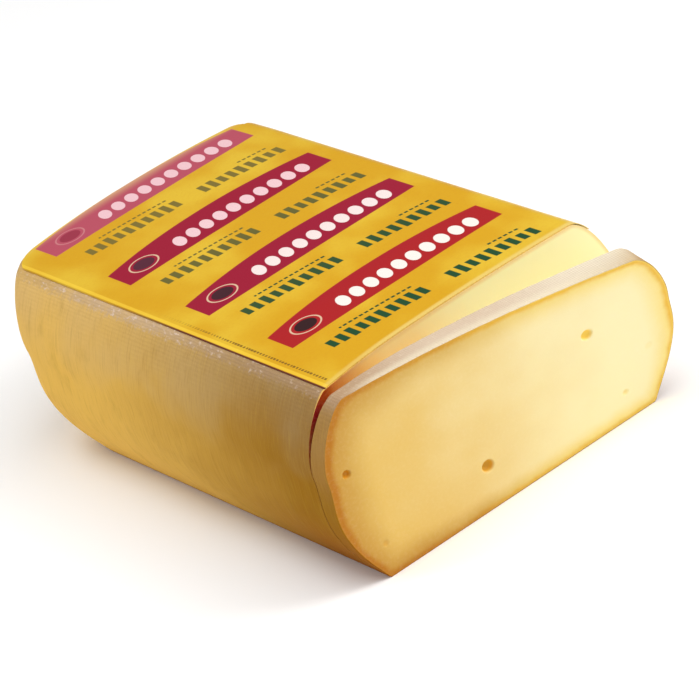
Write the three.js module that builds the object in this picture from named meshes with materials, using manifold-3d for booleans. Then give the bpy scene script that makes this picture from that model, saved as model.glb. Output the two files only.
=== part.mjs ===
// A loaf of washed-rind cheese: a brick with bulging sides, a slightly domed top and a rounded far
// end, cut nearly square at its near end. One slice has been cut from it and still stands against
// the cut, leaning open at its top right corner. A printed film covers the top of the loaf.
//
// Millimetres, +Z up. The loaf lies along Y with the slice at -Y, and the origin is the centre of the
// whole thing's box, on the floor. The shapes are worked out with the cut face in the plane y = 0.

import * as THREE from 'three';
import { mergeVertices } from 'three/addons/utils/BufferGeometryUtils.js';
import Module from 'manifold-3d';

// The loaf's cross-section, one set of values for each side of its middle.
// base, belly and top are half widths; shoulder is the height of the top's edge; lift and reach
// shape the shoulder's curve; corner is the far corner's radius in plan, at the top.
const LEFT = { base: 62.1, belly: 71.6, top: 55.2, shoulder: 75.5, lift: 11.6, reach: 5.1, corner: 13 };
const RIGHT = { base: 61.7, belly: 72.8, top: 60, shoulder: 73.9, lift: 10.4, reach: 6.8, corner: 4.8 };
const BELLY_HEIGHT = 46.9;
const FLANK_ANGLE = THREE.MathUtils.degToRad(58); // how steeply a side leaves the floor
const FLANK_PULL = 30.6;                          // how long it keeps that direction
const BELLY_PULL = 11.3;                          // how long it is upright below the belly
const CROWN = 1.45;                               // rise of the top's middle over its edges
const CROWN_HOLD = 3;                             // the higher, the less of that rise the sides share
const FOOT_ROUND = 0.8;                           // small round where a side meets the base

// The loaf's length and its far end.
const LENGTH = 237.6;        // from the cut to the far end's edge at the belly
const END_CROWN = 4;         // how far the far end's middle stands out
const END_CROWN_HOLD = 6;    // the higher, the nearer to the end that crown begins
const END_TUCK = 0.55;       // share of a side's bulge that the far end has
const CORNER_LOW = 41;       // radius of the far corners in plan, at the base
const CORNER_HOLD = 3.7;     // the higher, the longer that radius holds on the way up
const END_DROP = 0.7;        // how far the top's edge sinks towards the far end
const END_DROP_LENGTH = 38;

// Gentle unevenness of the rind, in waves along the loaf and up its sides.
const WAVE = 0.45;
const WAVE_ALONG = 94;
const WAVE_ALONG_PHASE = 0.8;
const WAVE_UP = 180;
const WAVE_UP_PHASE = 0.5;
const WAVE_FADE = 25;        // it has died out this far from the cut and the far corners

// The cut is flat, but bows out towards the slice near its top left corner.
const BOW = 2.8;
const BOW_SIDE = 24;         // it begins this far left of the middle
const BOW_HEIGHT = 48;       // and at this height
const BOW_POWER = 1.5;       // the higher, the nearer to the corner the bow stays
const BOW_REACH = 30;        // it has died out this far along the loaf

// The slice. Its front face is a plane with a slight twist. Its back is the loaf's own cut: it still
// touches at the foot and the lower left, and is peeled away towards the top right.
const SLICE_GAP = 0.35;      // clearance where it touches
const SLICE_FRONT = 9.78;    // from the cut to the front face, at the middle of the foot
const SLICE_FAN = 0.04;      // further, for each millimetre to the right
const SLICE_TILT = 0.182;    // for each millimetre up
const SLICE_TWIST = 0.00175; // and for each square millimetre to the right and up
const SLICE_SPREAD = 0.01;   // how much fuller than the cut the front is on its right side
const SLICE_OPEN = 3.42;     // how far the back stands off at the top left
const SLICE_OPEN_MORE = 0.18; // further, for each millimetre to the right
const SLICE_HOLD = 48;       // the height up to which it touches at the left edge
const SLICE_CURL = 1.2;      // the higher, the nearer to the top it peels away
const SLICE_SAG = 7.9;       // how far the peeled corner has sunk in front
const SLICE_SAG_POWER = 1.8; // the higher, the nearer to the corner the sag stays
const SLICE_RISE = 3.2;      // how much higher that corner is behind, as the slice leans forward
const EYES = [               // open holes in the slice's face: place across, height, radius, depth
  { x: -12.0, z: 18.1, radius: 2.3, depth: 2.0 },
  { x: 38.0, z: 48.2, radius: 2.2, depth: 1.3 },
  { x: -63.6, z: 46.8, radius: 1.5, depth: 1.2 },
];

// The printed film on the loaf's top. It ends at the left shoulder and turns down the right one.
const FILM_GAP = 0.35;
const FILM_THICK = 0.3;
const FILM_SETBACK = 0.3;    // clear of the cut's plane
const FILM_RIGHT_TURN = 3;   // shoulder steps that it covers on the right

const MERGE_WITHIN = 1e-4;   // points closer than this are one

// How finely the curves are divided.
const FLANK_STEPS = 7;
const SHOULDER_STEPS = 8;
const ALONG_STEPS = 14;
const CORNER_STEPS = 7;
const ACROSS_STEPS = 14;
const FILM_ALONG = 18;
const FILM_ACROSS = 14;
const CAP_RINGS = 5;
const DEPTH_STEPS = 2;
const EYE_SEGMENTS = 14;
const EYE_RINGS = 8;

const { lerp, clamp } = THREE.MathUtils;

// The lower part of a side, from the floor to the belly, as half width and height.
function flankCurve(side) {
  const pull = new THREE.Vector2(Math.cos(FLANK_ANGLE), Math.sin(FLANK_ANGLE)).multiplyScalar(FLANK_PULL);
  const foot = new THREE.Vector2(side.base, FOOT_ROUND);
  return new THREE.CubicBezierCurve(
    foot,
    foot.clone().add(pull),
    new THREE.Vector2(side.belly, BELLY_HEIGHT - BELLY_PULL),
    new THREE.Vector2(side.belly, BELLY_HEIGHT),
  );
}

// The upper part of a side, from the belly over the shoulder to the edge of the top.
function shoulderCurve(side) {
  return new THREE.CubicBezierCurve(
    new THREE.Vector2(side.belly, BELLY_HEIGHT),
    new THREE.Vector2(side.belly, BELLY_HEIGHT + side.lift),
    new THREE.Vector2(side.top + side.reach, side.shoulder),
    new THREE.Vector2(side.top, side.shoulder),
  );
}

function sideProfile(side) {
  return [
    new THREE.Vector2(side.base - FOOT_ROUND, 0),
    ...flankCurve(side).getPoints(FLANK_STEPS),
    ...shoulderCurve(side).getPoints(SHOULDER_STEPS).slice(1),
  ];
}

const leftProfile = sideProfile(LEFT);
const rightProfile = sideProfile(RIGHT);

// How far x is from the left edge towards the right one, from 0 to 1.
function acrossShare(x, left, right) {
  return clamp((x + left) / (left + right), 0, 1);
}

// The rise of the crown at x: 1 in the middle of the top and 0 at its edges.
function crownShare(x, left, right) {
  const share = x < 0 ? x / left : x / right;
  return 1 - Math.min(1, Math.abs(share)) ** 2;
}

// The height of the loaf's top at a place.
function topHeight(x, y) {
  const edge = lerp(LEFT.shoulder, RIGHT.shoulder, acrossShare(x, LEFT.top, RIGHT.top));
  const drop = END_DROP * Math.max(0, (y - (LENGTH - END_DROP_LENGTH)) / END_DROP_LENGTH) ** 2;
  return edge + CROWN * crownShare(x, LEFT.top, RIGHT.top) - drop;
}

// A rind wave, which fades out towards the floor, the cut, the far corners and the top's edge.
function wave(y, z, cornerStart) {
  const fade = Math.sin(Math.PI * clamp(z / LEFT.shoulder, 0, 1))
    * clamp(y / WAVE_FADE, 0, 1) * clamp((cornerStart - y) / WAVE_FADE, 0, 1);
  const along = Math.sin(2 * Math.PI * y / WAVE_ALONG + WAVE_ALONG_PHASE);
  const up = Math.sin(2 * Math.PI * z / WAVE_UP + WAVE_UP_PHASE);
  return WAVE * fade * along * up;
}

// How far the cut stands out at a place.
function cutBow(x, z) {
  const left = clamp((-BOW_SIDE - x) / (LEFT.top - BOW_SIDE), 0, 1);
  const high = clamp((z - BOW_HEIGHT) / (LEFT.shoulder - BOW_HEIGHT), 0, 1);
  return BOW * (left * high) ** BOW_POWER;
}

// A length along the loaf, moved along with the bow of the cut.
function bowed(x, y, z) {
  return y - cutBow(x, z) * Math.max(0, 1 - y / BOW_REACH);
}

// How a far corner is placed in plan, for a point of a side's profile.
function farCorner(side, point) {
  const end = LENGTH - END_TUCK * (side.belly - point.x);
  const radius = lerp(CORNER_LOW, side.corner, clamp(point.y / side.shoulder, 0, 1) ** CORNER_HOLD);
  return { end, radius, start: end - radius };
}

// Half of a ring in plan: along one side and round its far corner, as half width and length.
function halfRing(point, corner) {
  const half = [];
  for (let i = 0; i < ALONG_STEPS; i++) {
    half.push([point.x, corner.start * i / ALONG_STEPS]);
  }
  for (let i = 0; i < CORNER_STEPS; i++) {
    const turn = i / CORNER_STEPS * Math.PI / 2;
    half.push([
      point.x - corner.radius * (1 - Math.cos(turn)),
      corner.start + corner.radius * Math.sin(turn),
    ]);
  }
  return half;
}

// One ring of the loaf in plan, through a point of the left profile and one of the right. It starts
// at the cut's right edge and runs along the right side, round the far end, back along the left side
// and along the cut.
function planRing(left, right) {
  const leftCorner = farCorner(LEFT, left);
  const rightCorner = farCorner(RIGHT, right);
  const plan = halfRing(right, rightCorner);
  for (let i = 0; i <= ACROSS_STEPS; i++) {
    const share = i / ACROSS_STEPS;
    plan.push([
      lerp(right.x - rightCorner.radius, leftCorner.radius - left.x, share),
      lerp(rightCorner.end, leftCorner.end, share),
    ]);
  }
  plan.push(...halfRing(left, leftCorner).reverse().map(([x, y]) => [-x, y]));
  for (let i = 1; i < ACROSS_STEPS; i++) {
    plan.push([lerp(-left.x, right.x, i / ACROSS_STEPS), 0]);
  }
  return plan.map(([x, y]) => {
    const share = acrossShare(x, left.x, right.x);
    const corner = x < 0 ? leftCorner : rightCorner;
    return surfacePoint(x, y + endBulge(x, y, left, right, corner), share,
      lerp(left.y, right.y, share), corner);
  });
}

// How far the crown of the far end moves a point of the plan.
function endBulge(x, y, left, right, corner) {
  return END_CROWN * crownShare(x, left.x, right.x) * clamp(y / corner.end, 0, 1) ** END_CROWN_HOLD;
}

// A point of the loaf's skin, lifted by the top's crown and pushed out by the rind's waves.
function surfacePoint(x, y, share, level, corner) {
  const shoulder = lerp(LEFT.shoulder, RIGHT.shoulder, share);
  const crown = (topHeight(x, y) - shoulder) * (level / shoulder) ** CROWN_HOLD;
  const out = Math.sign(x) * wave(y, level, corner.start);
  return new THREE.Vector3(x + out, bowed(x, y, level), level + crown);
}

// Rings that shrink from the top's edge to its middle and close the top.
function shrinkingRings(outline, middle) {
  const rings = [];
  for (let ring = 1; ring < CAP_RINGS; ring++) {
    const size = 1 - ring / CAP_RINGS;
    rings.push(outline.map((point) => {
      const x = middle.x + (point.x - middle.x) * size;
      const y = middle.y + (point.y - middle.y) * size;
      return new THREE.Vector3(x, y, topHeight(x, y));
    }));
  }
  return rings;
}

// A closed body lofted through rings of equal length, from a first point to a last one.
function loftRings(first, rings, last) {
  const points = [first, ...rings.flat(), last];
  const count = rings[0].length;
  const faces = [];
  const at = (ring, i) => 1 + ring * count + (i % count);
  for (let i = 0; i < count; i++) {
    faces.push(0, at(0, i + 1), at(0, i));
    faces.push(points.length - 1, at(rings.length - 1, i), at(rings.length - 1, i + 1));
  }
  for (let ring = 0; ring + 1 < rings.length; ring++) {
    for (let i = 0; i < count; i++) {
      faces.push(at(ring, i), at(ring, i + 1), at(ring + 1, i + 1));
      faces.push(at(ring, i), at(ring + 1, i + 1), at(ring + 1, i));
    }
  }
  const geometry = new THREE.BufferGeometry();
  geometry.setAttribute('position', new THREE.Float32BufferAttribute(
    points.flatMap((point) => [point.x, point.y, point.z]), 3));
  geometry.setIndex(faces);
  return geometry;
}

// The loaf: rings up its sides, closed by a flat base and by shrinking rings on top.
function loafGeometry() {
  const sides = leftProfile.map((left, level) => planRing(left, rightProfile[level]));
  const middle = new THREE.Vector3(0, LENGTH / 2, 0);
  const summit = new THREE.Vector3(0, LENGTH / 2, topHeight(0, LENGTH / 2));
  return loftRings(middle, [...sides, ...shrinkingRings(sides.at(-1), summit)], summit);
}

// Where the top ends, at x: a straight line between two round corners, bulged like the far end.
function topEnd(x) {
  const left = leftProfile.at(-1);
  const right = rightProfile.at(-1);
  const leftCorner = farCorner(LEFT, left);
  const rightCorner = farCorner(RIGHT, right);
  const leftTurn = leftCorner.radius - left.x;
  const rightTurn = right.x - rightCorner.radius;
  const corner = x < 0 ? leftCorner : rightCorner;
  const into = Math.max(0, leftTurn - x, x - rightTurn);
  const share = clamp((x - leftTurn) / (rightTurn - leftTurn), 0, 1);
  const straight = lerp(leftCorner.end, rightCorner.end, share);
  const y = straight - corner.radius + Math.sqrt(Math.max(0, corner.radius ** 2 - into ** 2));
  return y + endBulge(x, y, left, right, corner);
}

// One line of the film along the loaf, evenly divided.
function filmLine(end, pointAt) {
  return Array.from({ length: FILM_ALONG + 1 }, (_, i) => pointAt(lerp(FILM_SETBACK, end, i / FILM_ALONG)));
}

// The skin that the film covers, in lines from the right shoulder over the top to its left edge.
function filmLines() {
  const lines = [];
  const shoulder = shoulderCurve(RIGHT);
  for (let turn = FILM_RIGHT_TURN; turn > 0; turn--) {
    const point = shoulder.getPoint(1 - turn / SHOULDER_STEPS);
    const corner = farCorner(RIGHT, point);
    lines.push(filmLine(corner.start, (y) => surfacePoint(point.x, y, 1, point.y, corner)));
  }
  for (let i = 0; i <= FILM_ACROSS; i++) {
    const share = (1 - Math.cos(Math.PI * i / FILM_ACROSS)) / 2;
    const x = lerp(RIGHT.top, -LEFT.top, share);
    lines.push(filmLine(topEnd(x), (y) => {
      const z = topHeight(x, y);
      return new THREE.Vector3(x, bowed(x, y, z), z);
    }));
  }
  return lines;
}

// The way round the edge of a grid of points, kept line by line.
function gridRim(lines, row) {
  const last = (lines - 1) * row;
  const rim = Array.from({ length: row }, (_, i) => i);
  for (let line = 1; line < lines; line++) {
    rim.push(line * row + row - 1);
  }
  for (let i = row - 2; i >= 0; i--) {
    rim.push(last + i);
  }
  for (let line = lines - 2; line > 0; line--) {
    rim.push(line * row);
  }
  return rim;
}

// The film: a sheet over those lines, lifted off along their normals, with a thickness.
function filmGeometry() {
  const lines = filmLines();
  const row = lines[0].length;
  const faces = [];
  for (let line = 0; line + 1 < lines.length; line++) {
    for (let i = 0; i + 1 < row; i++) {
      const near = line * row + i;
      faces.push(near, near + 1, near + 1 + row, near, near + 1 + row, near + row);
    }
  }
  const sheet = new THREE.BufferGeometry().setFromPoints(lines.flat()).setIndex(faces);
  sheet.computeVertexNormals();
  const lifted = (lift) => lines.flat().map((point, i) => {
    const normal = new THREE.Vector3().fromBufferAttribute(sheet.attributes.normal, i);
    return point.clone().addScaledVector(normal.setY(0).normalize(), lift);
  });
  const points = [...lifted(FILM_GAP + FILM_THICK), ...lifted(FILM_GAP)];
  const under = lines.length * row;
  const shell = [...faces];
  for (let i = 0; i < faces.length; i += 3) {
    shell.push(faces[i] + under, faces[i + 2] + under, faces[i + 1] + under);
  }
  const rim = gridRim(lines.length, row);
  rim.forEach((near, i) => {
    const next = rim[(i + 1) % rim.length];
    shell.push(near, near + under, next + under, near, next + under, next);
  });
  return new THREE.BufferGeometry().setFromPoints(points).setIndex(shell);
}

// The cross-section as a closed outline, anticlockwise as seen from the slice's side.
function sectionOutline() {
  const outline = rightProfile.slice(0, -1).map((point) => [point.x, point.y]);
  for (let i = 0; i <= ACROSS_STEPS; i++) {
    const x = lerp(RIGHT.top, -LEFT.top, i / ACROSS_STEPS);
    outline.push([x, topHeight(x, 0)]);
  }
  for (const point of leftProfile.slice(1, -1).reverse()) {
    outline.push([-point.x, point.y]);
  }
  for (let i = 0; i < ACROSS_STEPS; i++) {
    outline.push([lerp(-leftProfile[0].x, rightProfile[0].x, i / ACROSS_STEPS), 0]);
  }
  return outline;
}

// A point of the slice, from its place on the section and its depth, 0 at the back and 1 in front.
function slicePoint(x, z, depth) {
  const fromLeft = Math.max(0, x + LEFT.base);
  const share = fromLeft / (LEFT.base + RIGHT.base);
  const hold = SLICE_HOLD * Math.max(0, 1 - share) ** 2;
  const peeled = Math.max(0, (z - hold) / (LEFT.shoulder - hold)) ** SLICE_CURL;
  const back = SLICE_GAP + cutBow(x, z) + (SLICE_OPEN + SLICE_OPEN_MORE * fromLeft) * peeled;
  const front = SLICE_FRONT + SLICE_FAN * x + SLICE_TILT * z + SLICE_TWIST * x * z;
  const fuller = SLICE_SPREAD * depth * Math.sin(Math.PI * clamp(z / LEFT.shoulder, 0, 1));
  const sunk = SLICE_SAG * (share * z / LEFT.shoulder) ** SLICE_SAG_POWER;
  const risen = SLICE_RISE * share * z / LEFT.shoulder * (1 - depth);
  return new THREE.Vector3(x + Math.max(0, x) * fuller, -lerp(back, front, depth), z - sunk + risen);
}

function sliceSolid(wasm) {
  const outline = sectionOutline();
  const middle = [0, LEFT.shoulder / 2];
  const scaled = (size, depth) => outline.map(([x, z]) => (
    slicePoint(lerp(middle[0], x, size), lerp(middle[1], z, size), depth)));
  const rings = [];
  for (let ring = 1; ring < CAP_RINGS; ring++) {
    rings.push(scaled(ring / CAP_RINGS, 0));
  }
  for (let step = 0; step <= DEPTH_STEPS; step++) {
    rings.push(scaled(1, step / DEPTH_STEPS));
  }
  for (let ring = CAP_RINGS - 1; ring > 0; ring--) {
    rings.push(scaled(ring / CAP_RINGS, 1));
  }
  const block = loftRings(slicePoint(...middle, 0), rings, slicePoint(...middle, 1));
  return EYES.reduce(
    (solid, eye) => solid.subtract(toManifold(wasm, eyeGeometry(eye))),
    toManifold(wasm, block),
  );
}

// The round hollow of an eye: a ball sunk into the face.
function eyeGeometry(eye) {
  const ball = new THREE.SphereGeometry(1, EYE_SEGMENTS, EYE_RINGS);
  ball.scale(eye.radius, eye.depth, eye.radius);
  const face = slicePoint(eye.x, eye.z, 1);
  ball.translate(face.x, face.y, face.z);
  return ball;
}

function toManifold(wasm, geometry) {
  const bare = geometry.clone();
  bare.deleteAttribute('normal');
  bare.deleteAttribute('uv');
  const merged = mergeVertices(bare, MERGE_WITHIN);
  return new wasm.Manifold(new wasm.Mesh({
    numProp: 3,
    vertProperties: merged.attributes.position.array,
    triVerts: Uint32Array.from(merged.index.array),
  }));
}

function toGeometry(solid) {
  const mesh = solid.getMesh();
  const geometry = new THREE.BufferGeometry();
  geometry.setAttribute('position', new THREE.Float32BufferAttribute(mesh.vertProperties, 3));
  geometry.setIndex(Array.from(mesh.triVerts));
  return geometry;
}

function namedMesh(name, geometry, material) {
  geometry.computeVertexNormals();
  const mesh = new THREE.Mesh(geometry, material);
  mesh.name = name;
  return mesh;
}

const wasm = await Module();
wasm.setup();

const rind = new THREE.MeshStandardMaterial({ color: '#c0974f', roughness: 0.7, metalness: 0 });
const paste = new THREE.MeshStandardMaterial({ color: '#f0cf7c', roughness: 0.5, metalness: 0 });
const print = new THREE.MeshStandardMaterial({ color: '#e8b223', roughness: 0.35, metalness: 0 });

const cheese = new THREE.Group();
cheese.add(namedMesh('loaf', loafGeometry(), rind));
cheese.add(namedMesh('slice', toGeometry(sliceSolid(wasm)), paste));
cheese.add(namedMesh('label', filmGeometry(), print));

// Slide the group so that the middle of its box stands over the origin.
const box = new THREE.Box3().setFromObject(cheese);
const centre = box.getCenter(new THREE.Vector3());
cheese.position.set(-centre.x, -centre.y, 0);
cheese.updateMatrixWorld(true);

export default cheese;
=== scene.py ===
"""The looks of a loaf of washed-rind cheese with a cut slice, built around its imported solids.

Shapes are worked out in millimetres with the cut in the plane y = 0, as the solids are, and are
then shifted into the frame and scaled to metres. Materials read the same millimetres.
"""

import math

import bpy
import numpy as np
from mathutils import Matrix, Vector, noise
from mathutils.geometry import delaunay_2d_cdt


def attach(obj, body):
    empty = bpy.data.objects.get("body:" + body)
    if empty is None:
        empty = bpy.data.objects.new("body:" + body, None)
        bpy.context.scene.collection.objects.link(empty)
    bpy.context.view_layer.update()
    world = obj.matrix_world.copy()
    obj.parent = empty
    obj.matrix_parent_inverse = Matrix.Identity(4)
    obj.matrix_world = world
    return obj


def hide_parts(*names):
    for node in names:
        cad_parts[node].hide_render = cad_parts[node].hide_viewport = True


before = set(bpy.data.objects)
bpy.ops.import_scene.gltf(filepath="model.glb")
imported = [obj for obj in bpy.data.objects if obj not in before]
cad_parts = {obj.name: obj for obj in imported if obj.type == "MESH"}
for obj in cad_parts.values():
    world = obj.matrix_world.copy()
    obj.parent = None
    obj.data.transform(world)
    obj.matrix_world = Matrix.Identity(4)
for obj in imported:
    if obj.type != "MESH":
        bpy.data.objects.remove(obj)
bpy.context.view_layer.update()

METRE = 0.001  # one millimetre
MIDDLE_X = -0.4432  # where the frame has the middle line of the loaf, whose right side is the fuller
CUT_Y = -104.2895  # and the plane of its cut

# The cross-section, one set for each side: half widths, the shoulder's height and its curve, and
# the far corner's radius in plan at the top.
LEFT = {
    "base": 62.1, "belly": 71.6, "top": 55.2, "shoulder": 75.5, "lift": 11.6, "reach": 5.1, "corner": 13.0,
}
RIGHT = {
    "base": 61.7, "belly": 72.8, "top": 60.0, "shoulder": 73.9, "lift": 10.4, "reach": 6.8, "corner": 4.8,
}
BELLY_HEIGHT = 46.9
FLANK_ANGLE = math.radians(58)
FLANK_PULL = 30.6
BELLY_PULL = 11.3
CROWN = 1.45
CROWN_HOLD = 3
FOOT_ROUND = 0.8

# The loaf's length and its far end.
LENGTH = 237.6
END_CROWN = 4.0
END_CROWN_HOLD = 6
END_TUCK = 0.55
CORNER_LOW = 41.0
CORNER_HOLD = 3.7
END_DROP = 0.7
END_DROP_LENGTH = 38.0

# Broad waves of the rind.
WAVE = 0.45
WAVE_ALONG = 94.0
WAVE_ALONG_PHASE = 0.8
WAVE_UP = 180.0
WAVE_UP_PHASE = 0.5
WAVE_FADE = 25.0

# The cut's bow towards the slice, near its top left corner.
BOW = 2.8
BOW_SIDE = 24.0
BOW_HEIGHT = 48.0
BOW_POWER = 1.5
BOW_REACH = 30.0

# The slice: its front face, and how its back is peeled away from the cut.
SLICE_GAP = 0.1
SLICE_FRONT = 9.78
SLICE_FAN = 0.04
SLICE_TILT = 0.182
SLICE_TWIST = 0.00175
SLICE_SPREAD = 0.01
SLICE_OPEN = 3.42
SLICE_OPEN_MORE = 0.18
SLICE_HOLD = 48.0
SLICE_CURL = 1.2
SLICE_SAG = 7.9
SLICE_SAG_POWER = 1.8
SLICE_RISE = 3.2

# Eyes in the slice's face: place across, height, radius, depth.
EYES = [
    (-12.0, 18.1, 2.3, 2.6),
    (38.0, 48.2, 2.2, 1.5),
    (-63.6, 46.8, 1.5, 1.6),
    (48.9, 12.4, 1.3, 0.5),
    (61.4, 27.2, 1.6, 0.2),
    (-58.9, 13.6, 1.2, 0.35),
]
EYE_RIM = 0.55  # how wide the rounding of an eye's edge is

# The film: its lift off the rind, its thickness and how far it keeps from the cut.
FILM_LIFT = 0.02
FILM_THICK = 0.24
FILM_SETBACK = 0.3
FILM_RIGHT_TURN = 3 / 8  # how much of the right shoulder it covers

# How finely the shapes are divided.
FLANK_STEPS = 44
SHOULDER_STEPS = 30
ALONG_STEPS = 170
CORNER_STEPS = 26
ACROSS_STEPS = 76
CAP_RINGS = 8
FILM_ALONG = 130
FILM_ACROSS = 72
FILM_TURN_STEPS = 12
STRIP_STEPS = 16
FACE_STEP = 2.6
FACE_MARGIN = 1.2  # how far the grid of a face keeps from its outline
EYE_MARGIN = 0.9  # and from an eye's rim
EYE_STEPS = 28
EYE_BOWL_RINGS = (0.3, 0.6, 0.8)  # shares of the bowl inside the rim
EYE_RIM_RINGS = (-1, -0.6, -0.2, 0.2, 0.6, 1, 1.9)  # shares of the rim's rounding
POINTS_APART = 0.35  # least distance between points of the slice's outline
SHARP_ANGLE = math.radians(38)


def smooth(value, low, high):
    """From 0 at low to 1 at high, with soft ends. low may be the larger."""
    share = np.clip((np.asarray(value, float) - low) / (high - low), 0.0, 1.0)
    return share * share * (3 - 2 * share)


def lerp(a, b, share):
    return a + (b - a) * share


# Shape: the cross-section


def bezier(handles, shares):
    """Points of a cubic Bezier curve."""
    a, b, c, d = (np.array(handle, float) for handle in handles)
    t = np.asarray(shares, float)[:, None]
    return (1 - t) ** 3 * a + 3 * (1 - t) ** 2 * t * b + 3 * (1 - t) * t**2 * c + t**3 * d


def flank(side, shares):
    """The lower part of a side, from the floor to the belly, as half width and height."""
    foot = (side["base"], FOOT_ROUND)
    pulled = (
        foot[0] + FLANK_PULL * math.cos(FLANK_ANGLE),
        foot[1] + FLANK_PULL * math.sin(FLANK_ANGLE),
    )
    belly = side["belly"]
    return bezier([foot, pulled, (belly, BELLY_HEIGHT - BELLY_PULL), (belly, BELLY_HEIGHT)], shares)


def shoulder(side, shares):
    """The upper part of a side, from the belly over the shoulder to the edge of the top."""
    belly, top, high = side["belly"], side["top"], side["shoulder"]
    handles = [
        (belly, BELLY_HEIGHT),
        (belly, BELLY_HEIGHT + side["lift"]),
        (top + side["reach"], high),
        (top, high),
    ]
    return bezier(handles, shares)


def side_profile(side):
    flank_points = flank(side, np.linspace(0, 1, FLANK_STEPS + 1))
    shoulder_points = shoulder(side, np.linspace(0, 1, SHOULDER_STEPS + 1))[1:]
    return np.vstack([[(side["base"] - FOOT_ROUND, 0.0)], flank_points, shoulder_points])


def across_share(x, left, right):
    return np.clip((x + left) / (left + right), 0.0, 1.0)


def crown_share(x, left, right):
    share = np.where(x < 0, x / left, x / right)
    return 1 - np.minimum(1.0, np.abs(share)) ** 2


def top_height(x, y):
    edge = lerp(LEFT["shoulder"], RIGHT["shoulder"], across_share(x, LEFT["top"], RIGHT["top"]))
    beyond = np.maximum(0.0, (y - (LENGTH - END_DROP_LENGTH)) / END_DROP_LENGTH)
    return edge + CROWN * crown_share(x, LEFT["top"], RIGHT["top"]) - END_DROP * beyond**2


# Shape: the loaf


def wave(y, z, corner_start):
    fade = np.sin(math.pi * np.clip(z / LEFT["shoulder"], 0, 1))
    fade = fade * np.clip(y / WAVE_FADE, 0, 1) * np.clip((corner_start - y) / WAVE_FADE, 0, 1)
    along = np.sin(2 * math.pi * y / WAVE_ALONG + WAVE_ALONG_PHASE)
    up = np.sin(2 * math.pi * z / WAVE_UP + WAVE_UP_PHASE)
    return WAVE * fade * along * up


def cut_bow(x, z):
    """How far the cut stands out at a place."""
    left = np.clip((-BOW_SIDE - x) / (LEFT["top"] - BOW_SIDE), 0.0, 1.0)
    high = np.clip((z - BOW_HEIGHT) / (LEFT["shoulder"] - BOW_HEIGHT), 0.0, 1.0)
    return BOW * (left * high) ** BOW_POWER


def bowed(x, y, z):
    """A length along the loaf, moved along with the bow of the cut."""
    return y - cut_bow(x, z) * np.maximum(0.0, 1 - y / BOW_REACH)


def far_corner(side, half_width, height):
    """A far corner in plan: where it ends and starts along the loaf, and its radius."""
    end = LENGTH - END_TUCK * (side["belly"] - half_width)
    share = np.clip(height / side["shoulder"], 0, 1) ** CORNER_HOLD
    radius = lerp(CORNER_LOW, side["corner"], share)
    return end, radius, end - radius


def half_ring(half_width, corner):
    """One side and its far corner, as half width and length."""
    _, radius, start = corner
    turn = np.linspace(0, math.pi / 2, CORNER_STEPS, endpoint=False)
    straight = np.linspace(0, start, ALONG_STEPS, endpoint=False)
    x = np.concatenate([np.full(ALONG_STEPS, half_width), half_width - radius * (1 - np.cos(turn))])
    y = np.concatenate([straight, start + radius * np.sin(turn)])
    return x, y


def end_bulge(x, y, left, right, corner_end):
    return END_CROWN * crown_share(x, left, right) * np.clip(y / corner_end, 0, 1) ** END_CROWN_HOLD


def skin_point(x, y, share, level, corner_start):
    high = lerp(LEFT["shoulder"], RIGHT["shoulder"], share)
    crown = (top_height(x, y) - high) * (level / high) ** CROWN_HOLD
    out = np.sign(x) * wave(y, level, corner_start)
    return np.stack([x + out, bowed(x, y, level), level + crown], axis=-1)


def loaf_ring(left, right):
    """A ring of the skin: right side, far end, left side, then back along the cut."""
    left_corner = far_corner(LEFT, *left)
    right_corner = far_corner(RIGHT, *right)
    right_x, right_y = half_ring(right[0], right_corner)
    left_x, left_y = half_ring(left[0], left_corner)
    share = np.linspace(0, 1, ACROSS_STEPS + 1)
    end_x = lerp(right[0] - right_corner[1], left_corner[1] - left[0], share)
    end_y = lerp(right_corner[0], left_corner[0], share)
    cut_x = lerp(-left[0], right[0], np.linspace(0, 1, ACROSS_STEPS + 1)[1:-1])
    x = np.concatenate([right_x, end_x, -left_x[::-1], cut_x])
    y = np.concatenate([right_y, end_y, left_y[::-1], np.zeros_like(cut_x)])
    corner_end = np.where(x < 0, left_corner[0], right_corner[0])
    corner_start = np.where(x < 0, left_corner[2], right_corner[2])
    y = y + end_bulge(x, y, left[0], right[0], corner_end)
    across = across_share(x, left[0], right[0])
    return skin_point(x, y, across, lerp(left[1], right[1], across), corner_start)


RING_SKIN = 2 * (ALONG_STEPS + CORNER_STEPS) + ACROSS_STEPS + 1  # points of a ring before the cut's
RING_ALL = RING_SKIN + ACROSS_STEPS - 1


def shrinking_rings(outline, middle):
    """Rings that shrink from the top's edge to its middle and close the top."""
    rings = []
    for ring in range(1, CAP_RINGS):
        size = 1 - ring / CAP_RINGS
        flat = middle[:2] + (outline[:, :2] - middle[:2]) * size
        rings.append(np.column_stack([flat, top_height(flat[:, 0], flat[:, 1])]))
    return rings


def loft_faces(ring_count, count):
    """Quads between rings of equal length, anticlockwise from outside."""
    ring, i = np.meshgrid(np.arange(ring_count - 1), np.arange(count), indexing="ij")
    a = ring * count + i
    b = ring * count + (i + 1) % count
    return np.stack([a, b, b + count, a + count], axis=-1).reshape(-1, 4)


# Relief of the rind, in millimetres

RIND_SINK = 0.04  # keeps the whole relief under the smooth surface
RELIEF_FOOT = (0.4, 4.0)  # heights between which it sets in
RELIEF_TOP_LEVELS = 5  # rings over which it ends at the top's edge


def noise_at(point, size_x, size_y, size_z, seed):
    return noise.noise(Vector((point[0] / size_x + seed, point[1] / size_y, point[2] / size_z)))


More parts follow.
